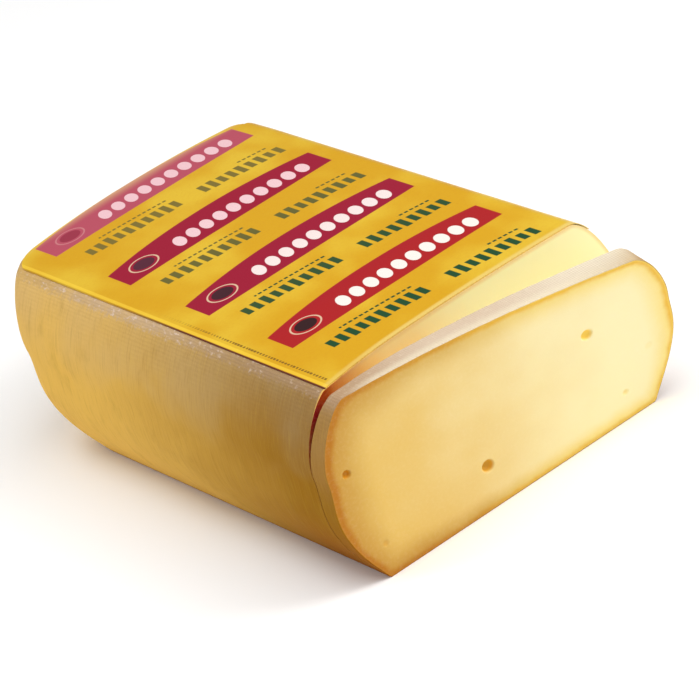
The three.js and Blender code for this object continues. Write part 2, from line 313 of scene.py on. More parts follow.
def rind_relief(point):
    """How far the rind lies under its smooth surface: folds, fine wrinkles and a lumpy bloom."""
    x, y, z = point
    folds = 0.5 + 0.5 * noise_at(point, 60, 13, 46, 3.1)
    patch = smooth(noise_at(point, 50, 40, 30, 9.7), -0.25, 0.35)
    wrinkles = 0.5 + 0.5 * noise_at((x, y + 0.16 * z, z), 30, 2.6, 24, 17.3)
    lumps = 0.5 + 0.5 * noise_at(point, 2.4, 2.4, 2.4, 31.9)
    bloom = smooth(z, 60, 73)
    return RIND_SINK + 0.20 * folds + 0.12 * patch * wrinkles + 0.20 * lumps * bloom + 0.05 * lumps


def vertex_normals(points, faces):
    """Area-weighted normals of a mesh of quads."""
    diagonal_a = points[faces[:, 2]] - points[faces[:, 0]]
    diagonal_b = points[faces[:, 3]] - points[faces[:, 1]]
    across = np.cross(diagonal_a, diagonal_b)
    normals = np.zeros_like(points)
    for corner in range(4):
        np.add.at(normals, faces[:, corner], across)
    return normals / np.maximum(np.linalg.norm(normals, axis=1), 1e-9)[:, None]


# Making objects


def place(points):
    """From the shapes' millimetres to the frame's metres."""
    return (np.asarray(points, float) + [MIDDLE_X, CUT_Y, 0.0]) * METRE


def new_piece(name, points, faces, materials, material_index=None, attributes=None):
    """A mesh object, smooth but for its sharp edges. attributes are floats for each point."""
    mesh = bpy.data.meshes.new(name)
    mesh.from_pydata(place(points).tolist(), [], [list(map(int, face)) for face in faces])
    for material in materials:
        mesh.materials.append(material)
    if material_index is not None:
        mesh.polygons.foreach_set("material_index", np.asarray(material_index, np.int32))
    for key, values in (attributes or {}).items():
        layer = mesh.attributes.new(key, "FLOAT", "POINT")
        layer.data.foreach_set("value", np.asarray(values, np.float32))
    mesh.validate()
    mesh.polygons.foreach_set("use_smooth", np.ones(len(mesh.polygons), bool))
    mesh.set_sharp_from_angle(angle=SHARP_ANGLE)
    mesh.update()
    piece = bpy.data.objects.new(name, mesh)
    bpy.context.scene.collection.objects.link(piece)
    return piece


def outline_distance(x, z, outline):
    """Distance in the section from points to its outline."""
    start = outline
    end = np.roll(outline, -1, axis=0)
    edge = end - start
    length2 = np.maximum((edge**2).sum(1), 1e-12)
    best = np.full(len(x), 1e9)
    for (px, pz), (ex, ez), l2 in zip(start, edge, length2):
        t = np.clip(((x - px) * ex + (z - pz) * ez) / l2, 0, 1)
        best = np.minimum(best, np.hypot(x - px - t * ex, z - pz - t * ez))
    return best


def section_outline():
    """The cross-section as a closed outline, evenly divided, anticlockwise as seen from -y."""
    left, right = side_profile(LEFT), side_profile(RIGHT)
    top_x = lerp(RIGHT["top"], -LEFT["top"], np.linspace(0, 1, ACROSS_STEPS + 1))
    top = np.column_stack([top_x, top_height(top_x, np.zeros_like(top_x))])
    base_x = lerp(-left[0, 0], right[0, 0], np.linspace(0, 1, ACROSS_STEPS + 1)[:-1])
    base = np.column_stack([base_x, np.zeros_like(base_x)])
    return np.vstack([right[:-1], top, (left[1:-1] * [-1, 1])[::-1], base])


def loaf_body(rind, paste):
    """The loaf: a skin with relief and a cut face, closed below and on top."""
    left, right = side_profile(LEFT), side_profile(RIGHT)
    sides = [loaf_ring(a, b) for a, b in zip(left, right)]
    middle = np.array([0.0, LENGTH / 2, 0.0])
    rings = [*sides, *shrinking_rings(sides[-1], middle)]
    points = np.vstack(rings)
    faces = loft_faces(len(rings), RING_ALL)
    normals = vertex_normals(points, faces)

    last = len(sides) - 1
    for level in range(1, last + 1):
        for i in range(RING_SKIN):
            at = level * RING_ALL + i
            point, normal = points[at], normals[at].copy()
            if i in (0, RING_SKIN - 1):
                normal[1] = 0.0
            fade = smooth(point[2], *RELIEF_FOOT) * (1 - smooth(level, last - RELIEF_TOP_LEVELS, last))
            points[at] = point - normal * float(fade) * rind_relief(point)

    ring_of = faces[:, 0] // RING_ALL
    on_cut = (faces[:, 0] % RING_ALL >= RING_SKIN - 1) & (ring_of < last)
    low_centre, high_centre = len(points), len(points) + 1
    points = np.vstack([points, middle, [0.0, LENGTH / 2, float(top_height(0.0, LENGTH / 2))]])
    top_ring = (len(rings) - 1) * RING_ALL
    fans = []
    for i in range(RING_ALL):
        after = (i + 1) % RING_ALL
        fans.append([low_centre, after, i])
        fans.append([high_centre, top_ring + i, top_ring + after])
    all_faces = [*faces.tolist(), *fans]
    index = [1 if cut else 0 for cut in on_cut] + [0] * len(fans)
    on_face = np.zeros(len(points), bool)
    on_face[np.unique(faces[on_cut])] = True
    depth = np.where(on_face, outline_distance(points[:, 0], points[:, 2], section_outline()), 0.0)
    piece = new_piece("loaf_body", points, all_faces, [rind, paste], index, {"rind_depth": depth})
    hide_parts("loaf")
    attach(piece, "root")
    return piece


# Shape: the slice


def slice_point(x, z, depth):
    """A point of the slice from its place on the section and its depth, 0 behind and 1 in front."""
    from_left = np.maximum(0.0, x + LEFT["base"])
    share = from_left / (LEFT["base"] + RIGHT["base"])
    hold = SLICE_HOLD * np.maximum(0.0, 1 - share) ** 2
    peeled = np.maximum(0.0, (z - hold) / (LEFT["shoulder"] - hold)) ** SLICE_CURL
    back = SLICE_GAP + cut_bow(x, z) + (SLICE_OPEN + SLICE_OPEN_MORE * from_left) * peeled
    front = SLICE_FRONT + SLICE_FAN * x + SLICE_TILT * z + SLICE_TWIST * x * z
    fuller = SLICE_SPREAD * depth * np.sin(math.pi * np.clip(z / LEFT["shoulder"], 0, 1))
    sunk = SLICE_SAG * np.maximum(0.0, share * z / LEFT["shoulder"]) ** SLICE_SAG_POWER
    risen = SLICE_RISE * share * z / LEFT["shoulder"] * (1 - depth)
    return np.stack([x + np.maximum(0.0, x) * fuller, -lerp(back, front, depth), z - sunk + risen], axis=-1)


def eye_depth(x, z):
    """How deep the face lies at a point, for the eyes."""
    deep = np.zeros_like(x)
    for eye_x, eye_z, radius, depth in EYES:
        away = np.hypot(x - eye_x, z - eye_z)
        bowl = np.sqrt(np.maximum(0.0, 1 - 0.6 * (away / radius) ** 2))
        deep += depth * (1 - smooth(away, radius - EYE_RIM, radius + EYE_RIM)) * bowl
    return deep


def outline_normals(outline):
    """Outward normals of an anticlockwise outline."""
    along = np.roll(outline, -1, axis=0) - np.roll(outline, 1, axis=0)
    along /= np.maximum(np.linalg.norm(along, axis=1), 1e-9)[:, None]
    return np.column_stack([along[:, 1], -along[:, 0]])


def face_points(outline, with_eyes):
    """Points inside an outline: a grid, and rings round the eyes."""
    low, high = outline.min(0), outline.max(0)
    xs = np.arange(low[0], high[0], FACE_STEP)
    zs = np.arange(low[1], high[1], FACE_STEP)
    grid = np.array([(x + 0.5 * FACE_STEP * (row % 2), z) for row, z in enumerate(zs) for x in xs])
    inside = outline_distance(grid[:, 0], grid[:, 1], outline) > FACE_MARGIN
    inside &= point_in_outline(grid, outline)
    points = [grid[inside]]
    if with_eyes:
        for eye_x, eye_z, radius, _ in EYES:
            reach = radius + EYE_RIM + EYE_MARGIN
            points[0] = points[0][np.hypot(points[0][:, 0] - eye_x, points[0][:, 1] - eye_z) > reach]
            rings = [share * (radius - EYE_RIM) for share in EYE_BOWL_RINGS]
            rings += [radius + EYE_RIM * share for share in EYE_RIM_RINGS]
            turn = np.linspace(0, 2 * math.pi, EYE_STEPS, endpoint=False)
            for size in rings:
                points.append(np.column_stack([eye_x + size * np.cos(turn), eye_z + size * np.sin(turn)]))
            points.append(np.array([[eye_x, eye_z]]))
    return np.vstack(points)


def point_in_outline(points, outline):
    """Which points lie inside a closed outline, by counting crossings."""
    inside = np.zeros(len(points), bool)
    x, z = points[:, 0], points[:, 1]
    for (ax, az), (bx, bz) in zip(outline, np.roll(outline, -1, axis=0)):
        if az == bz:
            continue
        crosses = (az > z) != (bz > z)
        inside ^= crosses & (x < (bx - ax) * (z - az) / (bz - az) + ax)
    return inside


def face_mesh(outline, with_eyes):
    """A triangulated flat face: points with the outline first, and its triangles."""
    inner = face_points(outline, with_eyes)
    coords = [Vector(p) for p in np.vstack([outline, inner])]
    count = len(outline)
    edges = [(i, (i + 1) % count) for i in range(count)]
    result = delaunay_2d_cdt(coords, edges, [list(range(count))], 1, 1e-6)
    return np.array([tuple(v) for v in result[0]]), result[2], result[3]


SLICE_THICKNESS = 11.0  # about, for the rounding of its edges
EDGE_ROUND = 0.3  # rounding where the slice's faces meet its rind
EDGE_SHARE = EDGE_ROUND / SLICE_THICKNESS  # the same as a share of the thickness
EDGE_TURNS = (1.0, 0.75, 0.35)  # shares of a quarter turn, from the face outwards
HOLLOW_FULL = 1.2  # depth at which an eye has its full colour
RELIEF_FROM = 1.0  # the slice's rind has its relief above this height


def slice_outline():
    """The cross-section without points that lie close together."""
    outline = section_outline()
    keep = [0]
    for i in range(1, len(outline)):
        if np.linalg.norm(outline[i] - outline[keep[-1]]) > POINTS_APART:
            keep.append(i)
    return outline[keep]


def slice_plan():
    """The rings of the slice's strip from behind to the front, as inset and share of the thickness."""
    back = []
    for turn in EDGE_TURNS:
        inset = EDGE_ROUND * (1 - math.cos(turn * math.pi / 2))
        back.append((inset, EDGE_SHARE * (1 - math.sin(turn * math.pi / 2))))
    strip = [(0.0, depth) for depth in np.linspace(EDGE_SHARE, 1 - EDGE_SHARE, STRIP_STEPS + 1)]
    front = [(inset, 1 - depth) for inset, depth in back[::-1]]
    return back + strip + front


def slice_body(rind, paste):
    """The slice: a rind strip with relief between two cut faces, the front one with eyes."""
    outline = slice_outline()
    normals = outline_normals(outline)
    count = len(outline)
    plan = slice_plan()

    points = []
    for inset, depth in plan:
        section = outline - normals * inset
        ring = slice_point(section[:, 0], section[:, 1], depth)
        for i, point in enumerate(ring):
            if outline[i, 1] > RELIEF_FROM:
                sink = rind_relief(point) * float(smooth(outline[i, 1], *RELIEF_FOOT))
                point[0] -= normals[i, 0] * sink
                point[2] -= normals[i, 1] * sink
        points.append(ring)
    points = np.vstack(points)
    faces = [list(face[::-1]) for face in loft_faces(len(plan), count)]
    index = [0] * len(faces)
    depth_values = [0.0] * len(points)
    hollows = [0.0] * len(points)
    forward = [depth for _, depth in plan for _ in range(count)]

    for front in (False, True):
        inset, depth = plan[-1] if front else plan[0]
        edge = outline - normals * inset
        flat, triangles, origin = face_mesh(edge, front)
        at = {}
        added = []
        for i, (x, z) in enumerate(flat):
            sources = [s for s in origin[i] if s < count]
            if sources:
                at[i] = sources[0] + ((len(plan) - 1) * count if front else 0)
            else:
                at[i] = len(points) + len(added)
                added.append((x, z))
        added = np.array(added)
        body = slice_point(added[:, 0], added[:, 1], depth)
        hollow = eye_depth(added[:, 0], added[:, 1]) if front else np.zeros(len(added))
        body[:, 1] += hollow
        hollows += list(np.clip(hollow / HOLLOW_FULL, 0.0, 1.0))
        forward += [depth] * len(added)
        points = np.vstack([points, body])
        depth_values += list(outline_distance(added[:, 0], added[:, 1], outline))
        for a, b, c in triangles:
            face = [at[a], at[b], at[c]]
            faces.append(face if front else face[::-1])
            index.append(1)
    piece = new_piece("slice_body", points, faces, [rind, paste], index, {
        "rind_depth": depth_values,
        "on_slice": np.ones(len(points)),
        "slice_depth": forward,
        "eye_hollow": hollows,
    })
    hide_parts("slice")
    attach(piece, "root")
    return piece


# Shape: the film


def top_end(x):
    """Where the top ends, at x: a straight line between two round corners, bulged like the far end."""
    left_end, left_radius, _ = far_corner(LEFT, LEFT["top"], LEFT["shoulder"])
    right_end, right_radius, _ = far_corner(RIGHT, RIGHT["top"], RIGHT["shoulder"])
    left_turn = left_radius - LEFT["top"]
    right_turn = RIGHT["top"] - right_radius
    end, radius = (left_end, left_radius) if x < 0 else (right_end, right_radius)
    into = max(0.0, left_turn - x, x - right_turn)
    share = np.clip((x - left_turn) / (right_turn - left_turn), 0.0, 1.0)
    y = lerp(left_end, right_end, share) - radius + math.sqrt(max(0.0, radius**2 - into**2))
    return float(y + end_bulge(x, y, LEFT["top"], RIGHT["top"], end))


def film_sheet():
    """The skin under the film, as lines along it from the right shoulder over the top to the left edge."""
    shares = np.linspace(0, 1, FILM_ALONG + 1)
    lines = []
    for i in range(FILM_TURN_STEPS, 0, -1):
        half, height = shoulder(RIGHT, [1 - FILM_RIGHT_TURN * i / FILM_TURN_STEPS])[0]
        start = far_corner(RIGHT, half, height)[2]
        y = lerp(FILM_SETBACK, start, shares)
        lines.append(skin_point(np.full(len(shares), half), y, 1.0, height, start))
    for i in range(FILM_ACROSS + 1):
        value = lerp(RIGHT["top"], -LEFT["top"], (1 - math.cos(math.pi * i / FILM_ACROSS)) / 2)
        x = np.full(len(shares), value)
        y = lerp(FILM_SETBACK, top_end(value), shares)
        z = top_height(x, y)
        lines.append(np.column_stack([x, bowed(x, y, z), z]))
    return np.array(lines)


def film_ripple(point):
    """Slight unevenness of the film, in millimetres."""
    broad = 0.5 + 0.5 * noise_at(point, 26, 34, 40, 5.3)
    fine = 0.5 + 0.5 * noise_at(point, 7, 16, 20, 12.1)
    return 0.14 * broad + 0.05 * fine


def top_film(printed):
    """The printed film: a thin sheet over the loaf's top with a folded edge all round."""
    grid = film_sheet()
    lines, row = grid.shape[:2]
    flat = grid.reshape(-1, 3)
    line, i = np.meshgrid(np.arange(lines - 1), np.arange(row - 1), indexing="ij")
    near = (line * row + i).ravel()
    faces = np.stack([near, near + 1, near + 1 + row, near + row], axis=-1)
    normals = vertex_normals(flat, faces)
    normals[:, 1] = 0.0
    normals /= np.linalg.norm(normals, axis=1)[:, None]
    ripple = np.array([film_ripple(p) for p in flat])[:, None]
    upper = flat + normals * (FILM_LIFT + FILM_THICK + ripple)
    under = flat + normals * FILM_LIFT
    count = len(flat)
    rim = list(range(row)) + [k * row + row - 1 for k in range(1, lines)]
    rim += [(lines - 1) * row + k for k in range(row - 2, -1, -1)]
    rim += [k * row for k in range(lines - 2, 0, -1)]
    all_faces = faces.tolist() + (faces[:, ::-1] + count).tolist()
    for here, after in zip(rim, rim[1:] + rim[:1]):
        all_faces.append([here, here + count, after + count, after])
    piece = new_piece("top_film", np.vstack([upper, under]), all_faces, [printed])
    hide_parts("label")
    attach(piece, "root")
    return piece


# Materials


def linear(red, green, blue):
    """A colour given as it shows on a screen, 0 to 255, as a linear one."""
    def channel(value):
        value /= 255
        return value / 12.92 if value <= 0.04045 else ((value + 0.055) / 1.055) ** 2.4
    return (channel(red), channel(green), channel(blue), 1.0)


class Graph:
    """A material's nodes, made by short calls. Coordinates are the shapes' millimetres."""

    def __init__(self, name, roughness, **constants):
        self.material = bpy.data.materials.new(name)
        self.material.use_nodes = True
        self.tree = self.material.node_tree
        self.shader = self.tree.nodes["Principled BSDF"]
        self.shader.inputs["Roughness"].default_value = roughness
        for key, value in constants.items():
            self.shader.inputs[key.replace("_", " ")].default_value = value
        place_node = self.tree.nodes.new("ShaderNodeTexCoord")
        scaled = self.tree.nodes.new("ShaderNodeVectorMath")
        scaled.operation = "MULTIPLY_ADD"
        self.link(place_node.outputs["Object"], scaled.inputs[0])
        scaled.inputs[1].default_value = (1 / METRE,) * 3
        scaled.inputs[2].default_value = (-MIDDLE_X, -CUT_Y, 0.0)
        self.place = scaled.outputs[0]
        split = self.tree.nodes.new("ShaderNodeSeparateXYZ")
        self.link(self.place, split.inputs[0])
        self.x, self.y, self.z = split.outputs

    def link(self, source, socket):
        self.tree.links.new(source, socket)

    def put(self, value, socket):
        """A link from a socket, or a plain value."""
        if isinstance(value, bpy.types.NodeSocket):
            self.link(value, socket)
        else:
            socket.default_value = value

    def math(self, operation, a, b=0.0, c=0.0):
        node = self.tree.nodes.new("ShaderNodeMath")
        node.operation = operation
        for value, socket in zip((a, b, c), node.inputs):
            self.put(value, socket)
        return node.outputs[0]

    def add(self, a, b):
        return self.math("ADD", a, b)

    def times(self, a, b):
        return self.math("MULTIPLY", a, b)

    def minus(self, a, b):
        return self.math("SUBTRACT", a, b)

    def most(self, *values):
        result = values[0]
        for value in values[1:]:
            result = self.math("MAXIMUM", result, value)
        return result

    def smooth(self, value, low, high, start=0.0, end=1.0):
        """From start at low to end at high, with soft ends. low is the smaller."""
        node = self.tree.nodes.new("ShaderNodeMapRange")
        node.interpolation_type = "SMOOTHSTEP"
        for number, socket in zip((value, low, high, start, end), node.inputs):
            self.put(number, socket)
        return node.outputs[0]

    def mix(self, share, a, b):
        node = self.tree.nodes.new("ShaderNodeMix")
        node.data_type = "RGBA"
        self.put(share, node.inputs[0])
        self.put(a, node.inputs[6])
        self.put(b, node.inputs[7])
        return node.outputs[2]

    def attribute(self, name):
        node = self.tree.nodes.new("ShaderNodeAttribute")
        node.attribute_name = name
        return node.outputs["Fac"]

    def stretched(self, sizes, shift=(0.0, 0.0, 0.0), turn=(0.0, 0.0, 0.0)):
        """The place, divided by sizes in millimetres."""
        node = self.tree.nodes.new("ShaderNodeMapping")
        node.vector_type = "POINT"
        self.link(self.place, node.inputs["Vector"])
        node.inputs["Location"].default_value = shift
        node.inputs["Rotation"].default_value = turn
        node.inputs["Scale"].default_value = [1 / size for size in sizes]
        return node.outputs[0]

    def noise(self, sizes, detail=2.0, rough=0.5, shift=(0.0, 0.0, 0.0), turn=(0.0, 0.0, 0.0)):
        """Noise from 0 to 1 whose lumps have about those sizes in millimetres."""
        node = self.tree.nodes.new("ShaderNodeTexNoise")
        self.link(self.stretched(sizes, shift, turn), node.inputs["Vector"])
        node.inputs["Scale"].default_value = 1.0
        node.inputs["Detail"].default_value = detail
        node.inputs["Roughness"].default_value = rough
        return node.outputs["Fac"]

    def bump(self, height, strength, distance, after=None):
        node = self.tree.nodes.new("ShaderNodeBump")
        self.put(height, node.inputs["Height"])
        node.inputs["Strength"].default_value = strength
        node.inputs["Distance"].default_value = distance * METRE
        if after is not None:
            self.link(after, node.inputs["Normal"])
        return node.outputs["Normal"]

    def finish(self, colour, normal=None, roughness=None):
        self.link(colour, self.shader.inputs["Base Color"])
        if normal is not None:
            self.link(normal, self.shader.inputs["Normal"])
        if roughness is not None:
            self.link(roughness, self.shader.inputs["Roughness"])
        return self.material


def rind_material():
    """Washed rind: golden low down and far off, grey-brown near the cut, with a pale bloom on top."""
    g = Graph("rind_washed", 0.75, Specular_IOR_Level=0.05)
    on_slice = g.attribute("on_slice")
    broad = g.smooth(g.noise((46, 40, 26), 2.0), 0.3, 0.7, -8.0, 8.0)
    along = g.add(g.y, broad)
    low = g.mix(g.smooth(along, -20, 184), linear(150, 102, 8), linear(227, 181, 84))
    high = g.mix(g.smooth(along, -20, 190), linear(152, 123, 80), linear(213, 175, 107))
    colour = g.mix(g.smooth(g.add(g.z, broad), 40, 80), low, high)

    # the slice's side is a little paler and warmer
    side = g.times(on_slice, g.smooth(g.z, 30, 56, 0.0, 0.45))
    colour = g.mix(side, colour, linear(178, 136, 76))

    # warmer and darker at the foot beside the cut, and along the line where the rind meets the floor
    foot = g.times(g.smooth(g.z, 4, 36, 0.85, 0.0), g.smooth(g.y, 0, 80, 1.0, 0.0))
    colour = g.mix(foot, colour, linear(144, 80, 6))
    colour = g.mix(g.smooth(g.z, 0.5, 3.4, 0.7, 0.0), colour, linear(150, 84, 14))

    # fine near-upright grain over soft mottling
    grain = g.noise((7, 0.9, 11), 3.0, 0.6, turn=(0.1, 0.0, 0.0))
    mottle = g.noise((11, 9, 13), 3.0, 0.6, shift=(3.0, 1.0, 0.0))
    colour = g.mix(g.smooth(grain, 0.45, 0.85, 0.0, 0.26), colour, linear(134, 90, 12))
    colour = g.mix(g.smooth(grain, 0.2, 0.5, 0.16, 0.0), colour, linear(212, 176, 60))
    colour = g.mix(g.smooth(mottle, 0.5, 0.8, 0.0, 0.2), colour, linear(146, 108, 34))

    # pale bloom: a patchy band round the edge of the loaf's top, and the whole top of the slice
    speckle = g.noise((1.5, 1.5, 1.5), 3.0, 0.65)
    patches = g.noise((9, 9, 9), 2.0)
    beyond = g.most(g.minus(-LEFT["top"], g.x), g.minus(g.x, RIGHT["top"]), g.minus(g.y, LENGTH))
    outward = g.add(beyond, g.minus(LEFT["shoulder"], g.z))
    ragged = g.add(outward, g.smooth(speckle, 0.25, 0.75, -2.2, 2.2))
    bloom = g.smooth(ragged, 3.2, 7.6, 0.85, 0.0)
    bloom = g.times(bloom, g.smooth(patches, 0.3, 0.6, 0.55, 1.0))
    pale = g.mix(g.smooth(g.y, 50, 120), linear(164, 134, 103), linear(190, 162, 130))
    pale = g.mix(g.smooth(g.y, 150, 220), pale, linear(186, 152, 98))
    colour = g.mix(bloom, colour, pale)
    bright = g.times(bloom, g.smooth(g.noise((1.3, 2.6, 1.3), 2.0), 0.55, 0.75))
    bright = g.times(bright, g.smooth(g.y, 10, 120, 0.6, 1.0))
    colour = g.mix(bright, colour, linear(216, 194, 176))
    top = g.mix(g.smooth(g.x, -62, -12), linear(168, 135, 100), linear(206, 186, 162))
    top = g.mix(g.smooth(g.x, 0, 62), top, linear(226, 218, 196))
    weave = cloth_weave(g)
    top = g.mix(g.smooth(weave, 0.15, 0.9, 0.34, 0.0), top, linear(184, 156, 132))
    top = g.mix(g.smooth(speckle, 0.5, 0.8, 0.0, 0.3), top, linear(226, 214, 190))
    # painted highlight: the front edge of the slice's top, where it catches the light, made paler
    front = g.times(g.smooth(g.attribute("slice_depth"), 0.45, 0.95), g.smooth(g.x, -57, -40))
    top = g.mix(g.times(front, 0.6), top, linear(226, 214, 186))
    above = g.smooth(g.add(g.z, g.smooth(g.x, -64, -50, -8.0, 0.0)), 61, 72)
    colour = g.mix(g.times(on_slice, above), colour, top)

    # a thin warm edge where the loaf's top meets its cut, painted pale: a highlight of that lit edge,
    # covering the shade under the film's edge
    edge = g.times(g.smooth(behind_cut(g), 0.5, 1.5, 1.0, 0.0), g.smooth(g.z, 58, 66))
    edge = g.times(edge, g.minus(1.0, on_slice))
    colour = g.mix(edge, colour, linear(222, 176, 96))

    normal = g.bump(g.times(weave, g.smooth(g.z, 50, 72, 0.3, 1.0)), 0.4, 0.35)
    normal = g.bump(grain, 0.35, 0.3, normal)
    normal = g.bump(mottle, 0.5, 0.8, normal)
    normal = g.bump(speckle, 0.3, 0.25, normal)
    return g.finish(colour, normal)


def behind_cut(g):
    """How far behind the bowed edge of the cut a place on the top is."""
    left = g.times(g.add(g.x, BOW_SIDE), -1 / (LEFT["top"] - BOW_SIDE))
    left = g.math("MINIMUM", g.math("MAXIMUM", left, 0.0), 1.0)
    return g.add(g.y, g.times(g.math("POWER", left, BOW_POWER), BOW))


def cloth_weave(g):
    """Crossing threads, as a height from 0 to 1."""
    pitch = 1.9
    first = g.math("SINE", g.times(g.add(g.x, g.y), 2 * math.pi / pitch))
    second = g.math("SINE", g.times(g.minus(g.x, g.y), 2 * math.pi / pitch))
    return g.math("MULTIPLY_ADD", g.times(first, second), 0.5, 0.5)


def paste_material():
    """Cut paste: golden on the left to pale on the right, partly its own tone and partly painted light from
    the right, with an orange border along the rind.

    The loaf's own cut is painted paler for the shade behind the slice, and painted orange to crimson deep
    in the narrow gap at its left edge, as painted shade and warm bounce light.
    """
    g = Graph("paste_cut", 0.5, Specular_IOR_Level=0.2, Subsurface_Weight=0.12, Subsurface_Scale=0.004)
    g.shader.inputs["Subsurface Radius"].default_value = (1.0, 0.75, 0.35)
    depth = g.attribute("rind_depth")
    cloud = g.noise((30, 30, 24), 2.0)
    across = g.add(g.x, g.smooth(cloud, 0.3, 0.7, -8.0, 8.0))
    ragged = g.add(depth, g.smooth(g.noise((6, 6, 6), 2.0), 0.3, 0.7, -0.35, 0.35))
    # the left-to-right gradients below are partly the paste's own tone and partly painted light, paler
    # towards the right where the light falls
    face = g.mix(g.smooth(across, -62, 58), linear(222, 184, 96), linear(245, 233, 182))
    golden = g.mix(g.smooth(across, -60, 50), linear(186, 134, 44), linear(240, 212, 112))
    reach = g.times(g.smooth(g.x, -72, -20, 22.0, 12.0), g.smooth(g.z, 6, 34, 0.6, 1.0))
    inward = g.math("DIVIDE", g.minus(ragged, 1.2), reach)
    face = g.mix(g.smooth(inward, 0.0, 1.0, 0.8, 0.0), face, golden)
    border = g.mix(g.smooth(across, -62, 26), linear(180, 114, 18), linear(228, 180, 54))
    wide = g.times(g.smooth(g.x, -66, -40, 4.9, 3.9), g.smooth(g.z, 14, 40, 0.75, 1.0))
    face = g.mix(g.smooth(g.minus(ragged, wide), -2.9, 0.0, 1.0, 0.0), face, border)
    rim = g.mix(g.smooth(across, -60, 50), linear(182, 120, 28), linear(232, 196, 92))
    face = g.mix(g.smooth(depth, 0.3, 1.3, 0.7, 0.0), face, rim)
    hollow = g.attribute("eye_hollow")
    face = g.mix(hollow, face, g.mix(g.smooth(g.x, -50, 30), linear(210, 142, 8), linear(246, 208, 88)))

    # painted light: the loaf's own cut is paler than the slice's face, to make up for the shade behind the
    # slice
    cut = g.mix(g.smooth(across, -52, 20), linear(250, 204, 112), linear(250, 244, 190))
    cut = g.mix(g.smooth(depth, 0.4, 2.0, 0.75, 0.0), cut, linear(240, 204, 134))
    # painted shade and warm bounce light in the narrow gap at the cut's left edge, over its own orange
    # border: orange, then darker orange and crimson deep in it
    orange = g.smooth(g.x, -58, -30, 1.0, 0.0)
    cut = g.mix(orange, cut, linear(206, 112, 36))
    cut = g.mix(g.smooth(g.x, -57, -50, 1.0, 0.0), cut, linear(166, 64, 8))
    deep = g.smooth(g.x, -62, -56, 1.0, 0.0)
    cut = g.mix(g.times(deep, g.smooth(g.z, 66, 71, 1.0, 0.0)), cut, linear(146, 74, 34))
    crimson = g.times(g.smooth(g.z, 58, 69), g.smooth(g.z, 71, 74.5, 1.0, 0.2))
    cut = g.mix(g.times(deep, crimson), cut, linear(140, 12, 20))
    cut = g.mix(g.times(deep, g.smooth(g.z, 46, 57, 1.0, 0.0)), cut, linear(146, 98, 26))
    colour = g.mix(g.attribute("on_slice"), cut, face)

    fine = g.noise((1.2, 1.2, 1.2), 3.0, 0.6)
    colour = g.mix(g.smooth(fine, 0.4, 0.8, 0.0, 0.05), colour, linear(255, 246, 214))
    normal = g.bump(fine, 0.1, 0.12)
    normal = g.bump(g.noise((14, 14, 14), 1.0), 0.25, 0.4, normal)
    return g.finish(colour, normal)


# The print's layout, in millimetres: across the film and along it from the cut.
BAND_PITCH = 58.3
BAND_NEAR = 35.5  # near edge of the first band
BAND_BEFORE = 29.0  # how far before it a repeat starts
BAND_DEEP = 17.5  # its depth at the ends
BAND_X = (-43.4, 55.0)
BAND_BOW_FAR = 5.5  # how much further its middle reaches
BAND_BOW_NEAR = 1.5
LEAF_PITCH = 6.6  # pale ovals in a band
LEAF_COUNT = 10
LEAF_START = -18.2
LEAF_SLANT = 0.12
LEAF_MIDDLE = 6.8  # from the band's near edge, at its ends
LEAF_RISE = 2.0  # how much further in its middle
LEAF_HALF = (2.55, 5.0)  # half width and half height
DISC_X = -31.0  # ringed disc in a band
DISC_MIDDLE = 9.2
DISC_RING = (5.7, 6.4)
DISC_CORE = 4.45
BAR_START = -37.0  # green bars between the bands
BAR_PITCH = 4.3
BAR_LINE = 17.0
BAR_SLANT = 0.12
BAR_GROUPS = ((-37.0, 6.0), (14.6, 53.3))
DASH_PITCH = 2.3  # thin dashes beside the bars
DASH_SPANS = ((-27.0, 4.0), (36.0, 50.5))
DASH_LINE = (24.0, 25.3)
MARK_PITCH = 1.9  # tiny dashes along the left edge
MARK_LINE = (-51.6, -50.6)


